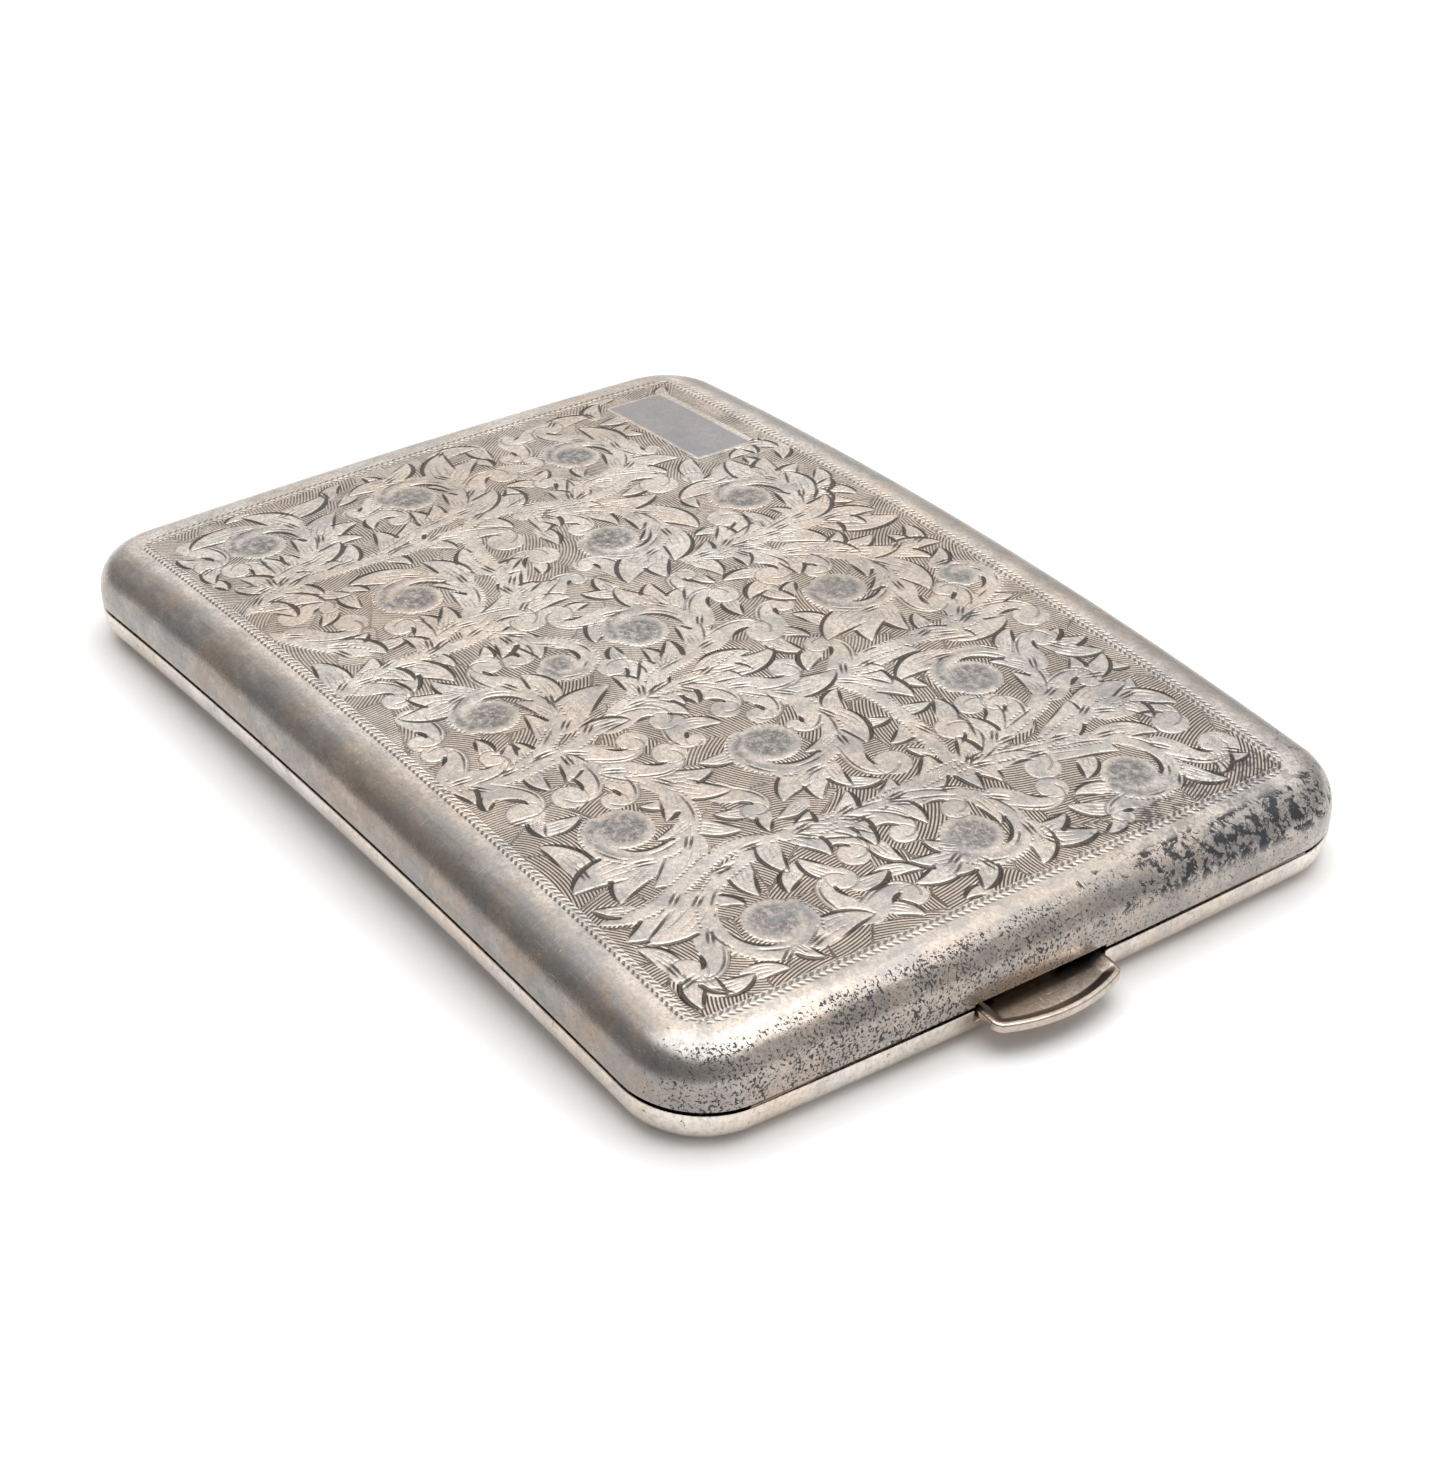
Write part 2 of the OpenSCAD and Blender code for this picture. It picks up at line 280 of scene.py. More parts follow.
PLATE = (-42.0, 20.6, -26.6, 26.6)     # the plain cartouche: x, y of two corners


def sprigs(pts, s, every, size, first, halfw, turn):
    """Leaves that leave a path on one side and sweep forward along it."""
    d = np.concatenate([[0], np.cumsum(np.hypot(*np.diff(pts, axis=0).T))])
    tang = np.gradient(pts, axis=0)
    for n, q in enumerate(np.arange(first, d[-1] - 0.6, every)):
        i = min(int(np.searchsorted(d, q)), len(pts) - 1)
        a = atan2(tang[i, 1], tang[i, 0])
        x, y = pts[i, 0] - s * sin(a) * halfw, pts[i, 1] + s * cos(a) * halfw
        grow = size * rnd.uniform(0.85, 1.2)
        if (n + int(first * 2)) % 3:
            frond(x, y, a + s * 0.5, grow, s * turn)
        else:
            spray(x, y, a, grow, s)


def vine_width(path):
    """Half widths along a vine, which swells towards its boss."""
    return np.linspace(0.8, 1.0, len(path))


def lay_vine(path, centre, radius):
    """The raised vine, the disc it winds in to, and the plain boss with its comma-shaped tail."""
    ornament(path, vine_width(path))
    disc(leaf, *centre, radius)
    disc(boss, *centre, radius - 0.3)
    brush(boss, path[24:], np.linspace(0.05, 0.8, len(path) - 24))


def fill_coil(path, centre, radius, turn):
    """The cut where a boss parts from its vine, and the leaves inside the coil."""
    inner = side(path, turn * vine_width(path))
    away = np.hypot(inner[:, 0] - centre[0], inner[:, 1] - centre[1])
    k = len(path) - int(np.argmax(away[::-1] > radius + 0.15))
    brush(cut, inner[k - 12:k], swell(12, 0.14, 0.02, 0.7))
    for i, size in ((14, 5.0), (20, 4.4), (26, 3.9), (32, 3.5), (38, 3.0)):
        a = atan2(path[i + 1, 1] - path[i, 1], path[i + 1, 0] - path[i, 0])
        x, y = path[i]
        head = 1.15 if i == 14 else 0.85
        if not curl(x, y, a + turn * 0.7, size, turn, head):
            lobe(x, y, a + turn * 0.4, size, turn * 0.8, 0.19)
            lobe(x, y, a + turn * 0.95, size * 0.85, turn * 0.8, 0.2)


def dress_vine(n, path, turn):
    """Leaves on both sides of a vine, and the short veins along it."""
    sprigs(path[:47], -turn, 4.1, 5.3, 2.0 + (n % 2) * 0.5, 0.6, 1)
    sprigs(path[:13], turn, 4.2, 4.9, 2.0, 0.6, 1)
    for k in range(3, 40, 9):
        vein = side(path, turn * 0.3 * (-1) ** k)[k:k + 7]
        brush(cut, vein, swell(len(vein), 0.07, 0.01))


def dress_stem(n, path):
    """Leaves on both sides of a stem, and one at its end."""
    sprigs(path, 1, 4.5, 5.2, 1.0 + (n % 3) * 0.5, 0.6, 1)
    sprigs(path, -1, 4.5, 5.2, 2.5 + (n % 2) * 0.5, 0.6, 1)
    lobe(*path[-2], atan2(*(path[-1] - path[-3])[::-1]), 5.0, 0.1, 0.2)


def fill_gap(least, most):
    """A curl or a lobe that grows from the ornament into the gap round a random point."""
    x, y = rnd.uniform(-FIELD_X, FIELD_X), rnd.uniform(-FIELD_Y, FIELD_Y)
    d = -at(leaf, x, y)
    if not least < d < most:
        return
    ux = at(leaf, x + 0.2, y) - at(leaf, x - 0.2, y)
    uy = at(leaf, x, y + 0.2) - at(leaf, x, y - 0.2)
    slope = hypot(ux, uy)
    if slope < 0.1:
        return
    a = atan2(-uy, -ux)
    sx, sy = x + ux / slope * (d + 0.5), y + uy / slope * (d + 0.5)
    turn = rnd.choice([-1, 1])
    if least > 1.2:
        if not curl(sx, sy, a - turn * 0.8, 2.4 * d + 0.6, turn, 0.55 * d, -0.1):
            spray(sx, sy, a - turn * 0.8, d + 1.8, turn)
    else:
        lobe(sx, sy, a + turn * 0.35, d + rnd.uniform(1.4, 2.8), -turn * 0.7, 0.25, 0.15)


def dot_vine(path, centre, radius, turn):
    """Dotted edges along a vine and round the open part of its boss."""
    w = vine_width(path) - 0.14
    dotted(side(path, -turn * w))
    dotted(side(path[:18], turn * w[:18]))
    a = np.linspace(0, 2 * pi, 70)
    ring = np.stack([centre[0] + radius * np.cos(a), centre[1] + radius * np.sin(a)], 1)
    gap = np.hypot(*(ring[:, None] - path[None, 20:]).transpose(2, 0, 1)).min(1)
    for k in range(0, 69, 2):
        if gap[k] > 1.0:
            disc(dots, *ring[k], 0.09)


def border():
    """Two rows of slanting pricks that lean opposite ways, along each edge of the field."""
    for sign in (-1, 1):
        for row, lean in ((0.3, 0.17), (-0.3, -0.17)):
            for y in np.arange(0.6 - BORDER_Y, BORDER_Y - 0.3, PRICK):
                x0, x1 = sign * (BORDER_X + row - 0.14), sign * (BORDER_X + row + 0.14)
                brush(dots, [(x0, y - lean), (x1, y + lean)], 0.1)
            for x in np.arange(0.6 - BORDER_X, BORDER_X - 0.3, PRICK):
                y0, y1 = sign * (BORDER_Y + row - 0.14), sign * (BORDER_Y + row + 0.14)
                brush(dots, [(x - lean, y0), (x + lean, y1)], 0.1)


def engrave():
    """Draws the whole engraving: cartouche, stems, vines and their leaves, then the border."""
    x0, y0, x1, y1 = PLATE
    for y in np.arange(y0 + 0.4, y1, 0.8):
        ornament([(x0 + 0.3, y), (x1 - 0.3, y)], 0.7)
    vines = [(winding(*row), row[2], row[3], row[5]) for row in SCROLLS]
    stems = [bezier(*row) for row in STEMS]
    u = np.linspace(0, 1, 24)
    for path in stems:
        ornament(path, 0.85 * np.minimum(1, 0.25 + 6 * np.minimum(u, 1 - u)))
    for path, centre, radius, _ in vines:
        lay_vine(path, centre, radius)
    for path, centre, radius, turn in vines:
        fill_coil(path, centre, radius, turn)
    for n, (path, _, _, turn) in enumerate(vines):
        dress_vine(n, path, turn)
    for n, path in enumerate(stems):
        dress_stem(n, path)
    for least, most, tries in ((1.5, 3.4, 5000), (0.95, 2.4, 7000), (0.72, 1.4, 5000)):
        for _ in range(tries):
            fill_gap(least, most)
    for path, centre, radius, turn in vines:
        dot_vine(path, centre, radius, turn)
    for path in stems:
        dotted(side(path, 0.72))
        dotted(side(path, -0.72))
    border()


def hatching(patches=240, reach=8):
    """The ruling of the ground: arcs about a far point, another one for each patch."""
    seeds = np.stack([rnd.uniform(-46, 46, patches), rnd.uniform(-31, 31, patches)], 1)
    headings = rnd.uniform(0, 2 * pi, patches)
    radii = rnd.uniform(8, 18, patches)
    best = np.full((NY, NX), 1e9)
    phase = np.zeros((NY, NX))
    for (qx, qy), q, f in zip(seeds, headings, radii):
        i0, i1 = max(int((qx - reach - FX0) / STEP), 0), min(int((qx + reach - FX0) / STEP), NX)
        j0, j1 = max(int((qy - reach - FY0) / STEP), 0), min(int((qy + reach - FY0) / STEP), NY)
        x, y = gx[None, i0:i1], gy[j0:j1, None]
        d = np.hypot(x - qx, y - qy)
        near = d < best[j0:j1, i0:i1]
        best[j0:j1, i0:i1] = np.where(near, d, best[j0:j1, i0:i1])
        arc = np.hypot(x - qx - f * cos(q), y - qy - f * sin(q))
        phase[j0:j1, i0:i1] = np.where(near, arc, phase[j0:j1, i0:i1])
    return phase


engrave()
px0, py0, px1, py1 = PLATE
plate = np.minimum(np.minimum(gx - px0, px1 - gx)[None, :], np.minimum(gy - py0, py1 - gy)[:, None])
panel = np.minimum(FIELD_X + 0.45 - np.abs(gx)[None, :], FIELD_Y + 0.45 - np.abs(gy)[:, None])
ground = np.minimum(np.minimum(-leaf, panel), -plate - 0.2)
cut = np.minimum(cut, np.minimum(panel, -plate))
fine = np.minimum(fine, np.minimum(panel, -plate))
phase = hatching()

# ---- the shape of the case, in millimetres ----
lid_box, base_box, thumb_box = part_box("lid_shell"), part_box("base_shell"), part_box("thumb_piece")
DIP = 0.07584                       # sine of the slope at which the ends dip
HALF_L, HALF_W, CORNER = 50.0, 34.5, 7.0    # of the outline, seen flat
SHEET = 0.6
RB = (HALF_L - CORNER) / DIP        # bend radius at the seam
S1 = RB * asin(DIP)                 # length along the seam to the start of a straight end
# depth, height of the upright band at the rim, and width of the roll, each close to the CAD's
LID_D, LID_BAND, LID_ROLL = 5.15, 0.8, 4.0
BASE_D, BASE_BAND, BASE_ROLL = 3.6, 0.4, 3.0
LID_CROWN = 0.42                    # how much lower the lid's top is at its long sides
POWER = 2.4                         # of the superellipse that the roll follows
FIELD_IN = 4.57                     # from the outline in to the edge of the gridded field
SX = (base_box[0].x + base_box[1].x) / 2 / MM     # x of the middle of the case
BZ = lid_box[1].z / MM - LID_D - RB               # z of the centre of the bend
THUMB_Y = (thumb_box[0].y + thumb_box[1].y) / 2 / MM
THUMB_W = (thumb_box[1].y - thumb_box[0].y) / MM
BOW_LATCH, BOW_HINGE, BOW_SIDE = 0.0135, 0.007, 0.010


def bend(s, y, z):
    """From length along the seam, y and height above the seam (mm) to the row frame (m)."""
    a = np.clip(s, -S1, S1) / RB
    over = s - np.clip(s, -S1, S1)
    return np.stack([((RB + z) * np.sin(a) + over * np.cos(a) + SX) * MM, y * MM,
                     (BZ + (RB + z) * np.cos(a) - over * np.sin(a)) * MM], -1)


def bow(s, y):
    """The sides and ends of the pressed shells bow out a little towards their middles."""
    end = np.where(s > 0, BOW_LATCH, BOW_HINGE)
    return s * (1 - end * (y / HALF_W) ** 2), y * (1 - BOW_SIDE * (s / HALF_L) ** 2)


def mesh_from(name, co, quads):
    """A smooth mesh from arrays of vertices and of quads."""
    me = bpy.data.meshes.new(name)
    co = np.ascontiguousarray(co, np.float32).reshape(-1, 3)
    quads = np.ascontiguousarray(quads, np.int32).reshape(-1, 4)
    me.vertices.add(len(co))
    me.vertices.foreach_set("co", co.ravel())
    me.loops.add(quads.size)
    me.loops.foreach_set("vertex_index", quads.ravel())
    me.polygons.add(len(quads))
    me.polygons.foreach_set("loop_start", np.arange(0, quads.size, 4, dtype=np.int32))
    me.polygons.foreach_set("use_smooth", np.full(len(quads), True))
    me.update(calc_edges=True)
    me.validate()
    return me


def grid_quads(rows, cols, flip=False, close=False, base=0):
    """Quads between the rows of a grid of vertices; close joins each row's two ends."""
    j, i = np.meshgrid(np.arange(rows - 1), np.arange(cols if close else cols - 1), indexing="ij")
    k = (i + 1) % cols
    q = np.stack([j * cols + i, j * cols + k, (j + 1) * cols + k, (j + 1) * cols + i], -1)
    q = q.reshape(-1, 4) + base
    return q[:, ::-1] if flip else q


def roll_inset(roll, rise):
    """How far in the roll has come, where it has risen by this share of its height."""
    return roll * (1 - (1 - rise ** POWER) ** (1 / POWER))


class Shell:
    """One skin of a pressed tray: a field bounded by a rounded outline, and a rolled edge.

    inset and field_in are measured in from the case's outline, low gives the rim's lower edge."""

    def __init__(self, inset, depth, band, roll, field_in, step, low, crown):
        self.depth, self.band, self.roll, self.crown, self.low = depth, band, roll, crown, low
        self.field_in = field_in
        hx, hy = HALF_L - inset - field_in, HALF_W - inset - field_in
        r = max(CORNER - inset - field_in, 0.4)
        arc = hy - r + r * np.sin(np.linspace(0, pi / 2, 26))[1:]
        straight = np.linspace(-(hy - r), hy - r, int(2 * (hy - r) / step) + 1)
        ys = np.concatenate([-arc[::-1], straight, arc, [e for e in edges if abs(e) < hy - r]])
        ys = np.unique(np.round(ys, 5))
        ts = np.linspace(-1, 1, int(2 * hx / step) + 1)
        w = hx - r + np.sqrt(np.clip(r * r - np.clip(np.abs(ys) - (hy - r), 0, None) ** 2, 0, None))
        self.x, self.y = w[:, None] * ts[None, :], np.repeat(ys[:, None], len(ts), 1)
        # the field's outermost vertices in order, and the way out from each
        n = np.arange(self.x.size).reshape(self.x.shape)
        self.loop = np.concatenate([n[0, :-1], n[:-1, -1], n[-1, :0:-1], n[:0:-1, 0]])
        self.px, self.py = self.x.ravel()[self.loop], self.y.ravel()[self.loop]
        ox = self.px - np.clip(self.px, -(hx - r), hx - r)
        oy = self.py - np.clip(self.py, -(hy - r), hy - r)
        self.nx, self.ny = ox / np.hypot(ox, oy), oy / np.hypot(ox, oy)

    def top(self, y):
        return self.depth - self.crown * (y / HALF_W) ** 2

    def inward(self, d):
        """x and y of a ring that lies d in from this skin's outline."""
        out = self.field_in - d
        return self.px + self.nx * out, self.py + self.ny * out

    def roll_rings(self, low):
        """Rings from the field's edge down the roll, to the upright band."""
        flat = np.linspace(self.field_in, self.roll, 7)[1:-1]
        psi = np.linspace(pi / 2, 0, 34)
        d = np.concatenate([flat, self.roll * (1 - np.cos(psi) ** (2 / POWER))])
        rise = np.concatenate([np.ones(len(flat)), np.sin(psi) ** (2 / POWER)])
        for di, fi in zip(d, rise):
            x, y = self.inward(di)
            height = self.top(y) - self.band
            z = self.band + height * fi
            # where a channel or notch cuts in, the skin stops at its edge
            stopped = z < low
            if stopped.any():
                share = np.clip((low - self.band) / height, 0, 1)
                x, y = self.inward(np.where(stopped, roll_inset(self.roll, share), di))
                z = np.where(stopped, low, z)
            yield np.stack([x, y, z], -1)

    def band_rings(self, low, last):
        """Rings down the upright band, turned in a little at the rim."""
        cut_away = low > self.band
        for share, lip in ((0.75, 0.0), (0.5, 0.0), (0.25, 0.0), (0.12, 0.0), (0.04, 0.05),
                           (0.0, RIM_IN)):
            x_out, y_out = self.inward(0.0)
            x = np.where(cut_away, last[:, 0], x_out - self.nx * lip)
            y = np.where(cut_away, last[:, 1], y_out - self.ny * lip)
            z = np.where(cut_away, low, low + (self.band - low) * share)
            yield np.stack([x, y, z], -1)

    def skin(self, relief=0.0):
        """Vertices (s, y, z) of the field and of the rings that run out to the rim, with quads."""
        rows, cols = self.x.shape
        field = np.stack([self.x, self.y, self.top(self.y) + relief], -1).reshape(-1, 3)
        low = self.low(*self.inward(0.0))
        rings = list(self.roll_rings(low))
        rings += self.band_rings(low, rings[-1])
        self.rim = rings[-1]
        n = len(self.loop)
        first = rows * cols + np.arange(n)
        seam = np.stack([self.loop, first, np.roll(first, -1), np.roll(self.loop, -1)], -1)
        quads = [grid_quads(rows, cols), seam,
                 grid_quads(len(rings), n, close=True, flip=True, base=rows * cols)]
        return np.concatenate([field] + rings), np.concatenate(quads)


def set_attribute(mesh, key, values):
    attribute = mesh.attributes.new(key, "FLOAT", "POINT")
    attribute.data.foreach_set("value", np.ascontiguousarray(values, np.float32))


def link_new(name, data):
    ob = bpy.data.objects.new(name, data)
    bpy.context.scene.collection.objects.link(ob)
    return ob


def rim_between(inner, depth, band, roll):
    """The ring that joins the rims of the two skins, with the quads between its two rows."""
    z = inner.rim[:, 2]
    share = np.clip((z - band) / (depth - band), 0, 1)
    x, y = inner.inward(np.where(z > band, roll_inset(roll, share), RIM_IN) - SHEET)
    return np.concatenate([inner.rim, np.stack([x, y, z], -1)]), grid_quads(2, len(z), close=True)


def build_shell(name, up, depth, band, roll, step, low, crown=0.0, fields_of=None):
    """A shell of two skins. up is 1 for the lid and -1 for the base."""
    outer = Shell(0, depth, band, roll, FIELD_IN, step, low, crown)
    fields = fields_of(outer.x, outer.y) if fields_of else {}
    co, quads = outer.skin(fields.pop("relief", 0.0))
    inner = Shell(SHEET, depth - SHEET, band, roll - 0.45, FIELD_IN - SHEET, 1.5, low, crown)
    ci, qi = inner.skin()
    rim, qr = rim_between(inner, depth, band, roll)
    all_co = np.concatenate([co, ci, rim])
    all_q = np.concatenate([quads, qi[:, ::-1] + len(co), qr + len(co) + len(ci)])
    s, y = bow(all_co[:, 0], all_co[:, 1])
    pos = bend(s * (S1 + CORNER) / HALF_L, y, up * all_co[:, 2])
    pos[:, 2] = np.maximum(pos[:, 2], 0.0)       # the feet are worn flat
    me = mesh_from(name, pos, all_q if up > 0 else all_q[:, ::-1])
    for key, values in fields.items():
        full = np.full(len(all_co), 0.0 if key == "phase" else -1.0)
        full[:outer.x.size] = values.ravel()
        set_attribute(me, key, full)
    # high is 1 at the top and 0 at the seam, within is 1 on the inner skin
    set_attribute(me, "high", (all_co[:, 2] + crown * (all_co[:, 1] / HALF_W) ** 2) / depth)
    set_attribute(me, "within", np.repeat([0.0, 1.0, 0.0], (len(co), len(ci), len(rim))))
    return link_new(name, me)


def soft(a, e):
    """From 0 to 1 as a goes from -e to e."""
    return np.clip(a / (2 * e) + 0.5, 0, 1)


def sample(field, x, y):
    """The field between its grid points."""
    u = np.clip((x - FX0) / STEP, 0, NX - 1.001)
    v = np.clip((y - FY0) / STEP, 0, NY - 1.001)
    i, j = u.astype(int), v.astype(int)
    fu, fv = u - i, v - j
    return ((field[j, i] * (1 - fu) + field[j, i + 1] * fu) * (1 - fv)
            + (field[j + 1, i] * (1 - fu) + field[j + 1, i + 1] * fu) * fv)


def lid_fields(x, y):
    """The engraving at the lid's vertices, and the relief that it makes there."""
    names = {"ground": ground, "cut": cut, "dots": dots, "fine": fine, "boss": boss, "plate": plate}
    f = {key: sample(field, x, y) for key, field in names.items()}
    f["phase"] = sample(phase, x, y) / HATCH_PITCH
    # field, depth and softness of its edge
    depths = (("ground", -0.04, 0.12), ("cut", -0.085, 0.10), ("dots", -0.05, 0.06),
              ("fine", -0.02, 0.05), ("boss", 0.02, 0.5))
    f["relief"] = sum(depth * soft(f[key], e) for key, depth, e in depths)
    return f


# where the rim is cut away: the hinge's channel at one end, the thumb piece's notch at the other
CHANNEL_Y, CHANNEL_Z, LIP = 24.8, 1.65, 0.16
RIM_IN = 0.12                       # how far the rim turns in
NOTCH = THUMB_W / 2 + 0.3
LID_NOTCH, BASE_NOTCH = 0.45, 1.25
edges = [e + d for e in (-CHANNEL_Y, CHANNEL_Y, THUMB_Y - NOTCH, THUMB_Y + NOTCH)
         for d in (-0.015, 0.015)]


def rim_level(notch_z):
    """How high the rim's lower edge lies, for a notch that is cut to notch_z."""
    def low(x, y):
        z = np.full(len(x), LIP)
        z[(x > 45) & (np.abs(y - THUMB_Y) < NOTCH)] = notch_z
        z[(x < -45) & (np.abs(y) < CHANNEL_Y)] = CHANNEL_Z
        return z
    return low


fine_step = 0.12
lid = build_shell("lid_skin", 1, LID_D, LID_BAND, LID_ROLL, fine_step, rim_level(LID_NOTCH),
                  LID_CROWN, lid_fields)
base = build_shell("base_skin", -1, BASE_D, BASE_BAND, BASE_ROLL, 1.0, rim_level(BASE_NOTCH))

# ---- thumb piece ----
TAB_X = CORNER + 3.8               # how far the tab reaches past the end of the bent part
TAB_ARC, TAB_CORNER = 14.0, 1.2    # radius of its edge and of its two corners
TAB_ROOT = 5.4
TAB_TOP, TAB_UNDER = -0.1, -0.95
TAB_ROUND, TAB_DISH = 0.22, 0.42


def tab_outline():
    """The y of each row of the tab and the x of its edge there."""
    flat = THUMB_W / 2 - TAB_CORNER
    joint = sqrt((TAB_ARC - TAB_CORNER) ** 2 - flat * flat)
    turned = np.linspace(0, pi / 2, 14)[1:-1]
    corner_y = np.concatenate([[0], TAB_CORNER * (1 - np.cos(turned))]) - THUMB_W / 2
    ys = np.concatenate([corner_y, np.linspace(-flat, flat, 70)])
    ys = np.unique(np.round(np.concatenate([ys, -ys[:14][::-1]]), 5))
    y = np.abs(ys)
    split = TAB_ARC * sin(atan2(flat, joint))
    main = TAB_X - TAB_ARC + np.sqrt(TAB_ARC ** 2 - y ** 2)
    end = TAB_X - TAB_ARC + joint + np.sqrt(np.clip(TAB_CORNER ** 2 - (y - flat) ** 2, 0, None))
    return ys, np.where(y < split, main, end)


def thumb_mesh():
    """The thumb piece: a tab with a shallow arc for its edge, rounded all round and hollowed."""
    ys, ex = tab_outline()
    u = 1 - (1 - np.linspace(0, 1, 60)) ** 1.6
    x = TAB_ROOT + (ex[:, None] - TAB_ROOT) * u[None, :]
    y = np.repeat(ys[:, None], len(u), 1)
    # distance in from the edge
    e = THUMB_W / 2 - np.abs(y)
    many, few = np.linspace(0, 1, 400), np.linspace(0, 1, len(ex))
    for ox, oy in zip(np.interp(many, few, ex), np.interp(many, few, ys)):
        e = np.minimum(e, np.hypot(x - ox, y - oy))
    e[:, -1] = 0
    depth = np.clip(TAB_ROUND - e, 0, TAB_ROUND)
    rounded = TAB_ROUND - np.sqrt(np.clip(TAB_ROUND ** 2 - depth ** 2, 0, None))
    top = TAB_TOP - rounded - TAB_DISH * soft(e - 0.85, 0.4)
    under = TAB_UNDER + rounded
    rows, cols = x.shape
    n = rows * cols
    co = np.concatenate([np.stack([x, y, z], -1).reshape(-1, 3) for z in (top, under)])
    k = np.arange(n).reshape(rows, cols)
    loop = np.concatenate([k[:, -1], k[-1, -2::-1], k[-2::-1, 0], k[0, 1:-1]])
    wall = np.stack([loop, np.roll(loop, -1), np.roll(loop, -1) + n, loop + n], -1)
    quads = np.concatenate([grid_quads(rows, cols, flip=True), grid_quads(rows, cols, base=n), wall])
    me = mesh_from("thumb_tab", bend(S1 + co[:, 0], co[:, 1] + THUMB_Y, co[:, 2]), quads)
    bm = bmesh.new()
    bm.from_mesh(me)
    bmesh.ops.recalc_face_normals(bm, faces=bm.faces)
    bm.to_mesh(me)
    bm.free()
    return link_new("thumb_tab", me)


thumb = thumb_mesh()


# ---- materials ----
class Nodes:
    """A short way to write a node tree. A material's layers build up in col, rough and bump."""

    def __init__(self, tree):
        self.t = tree
        self.t.nodes.clear()
        self.col = self.rough = self.bump = self.black = None

    def put(self, socket, value):
        if isinstance(value, bpy.types.NodeSocket):
            self.t.links.new(value, socket)
        elif isinstance(value, tuple) and len(value) == 3 and socket.type == "RGBA":
            socket.default_value = (*value, 1.0)
        else:
            socket.default_value = value

    def new(self, kind, **settings):
        n = self.t.nodes.new(kind)
        for key, value in settings.items():
            setattr(n, key, value)
        return n

    def fill(self, node, *values):
        """Sets the node's sockets in their order and gives its first output."""
        for socket, value in zip(node.inputs, values):
            self.put(socket, value)
        return node.outputs[0]

    def math(self, op, a, b=0.0, c=0.0, clamp=False):
        return self.fill(self.new("ShaderNodeMath", operation=op, use_clamp=clamp), a, b, c)

    def times(self, a, b):
        return self.math("MULTIPLY", a, b)

    def line(self, a, slope, start):
        return self.math("MULTIPLY_ADD", a, slope, start)

    def step(self, v, lo, hi, a=0.0, b=1.0):
        """Goes smoothly from a to b as v goes from lo to hi."""
        n = self.new("ShaderNodeMapRange", interpolation_type="SMOOTHSTEP")
        return self.fill(n, v, lo, hi, a, b)

    def mix(self, f, a, b):
        n = self.new("ShaderNodeMix", data_type="RGBA", clamp_factor=True)
        self.put(n.inputs[0], f)
        self.put(n.inputs[6], a)
        self.put(n.inputs[7], b)
        return n.outputs[2]

    def paint(self, where, colour):
        self.col = self.mix(where, self.col, colour)

    def millimetres(self):
        """The object's own coordinates, in millimetres."""
        coords = self.new("ShaderNodeTexCoord").outputs["Object"]
        scale = self.new("ShaderNodeVectorMath", operation="SCALE")
        self.put(scale.inputs[0], coords)
        self.put(scale.inputs["Scale"], 1000.0)
        self.mm = scale.outputs[0]
        self.x, self.y, _ = self.split(self.mm)

    def split(self, vector):
        n = self.new("ShaderNodeSeparateXYZ")
        self.put(n.inputs[0], vector)
        return n.outputs

    def noise(self, scale, detail, rough, dist=0.0, stretch=None):
        """Noise with a feature about 1 / scale mm wide, or drawn out by a stretch of its own."""
        vector = self.mm
        if stretch:
            n = self.new("ShaderNodeMapping")
            self.put(n.inputs["Vector"], self.mm)
            self.put(n.inputs["Scale"], stretch)
            vector = n.outputs[0]
        n = self.new("ShaderNodeTexNoise")
        for key, value in (("Vector", vector), ("Scale", scale), ("Detail", detail),
                           ("Roughness", rough), ("Distortion", dist)):
            self.put(n.inputs[key], value)
        return n.outputs[0]

    def attr(self, name):
        return self.new("ShaderNodeAttribute", attribute_name=name).outputs[2]

    def finish(self):
        """Lays the black pits over the rest and ends the material."""
        self.paint(self.black, (0.035, 0.038, 0.042))
        rough = self.line(self.black, 0.3, self.rough)
        bump = self.line(self.black, -0.25, self.bump)
        metal = self.math("SUBTRACT", 1.0, self.times(self.black, 0.6))
        b = self.new("ShaderNodeBump")
        for key, value in (("Strength", 0.6), ("Distance", 0.12 * MM), ("Height", bump)):
            self.put(b.inputs[key], value)
        p = self.new("ShaderNodeBsdfPrincipled")
        for key, value in (("Base Color", self.col), ("Roughness", rough), ("Metallic", metal),
                           ("Normal", b.outputs[0])):
            self.put(p.inputs[key], value)
        self.put(self.new("ShaderNodeOutputMaterial").inputs[0], p.outputs[0])


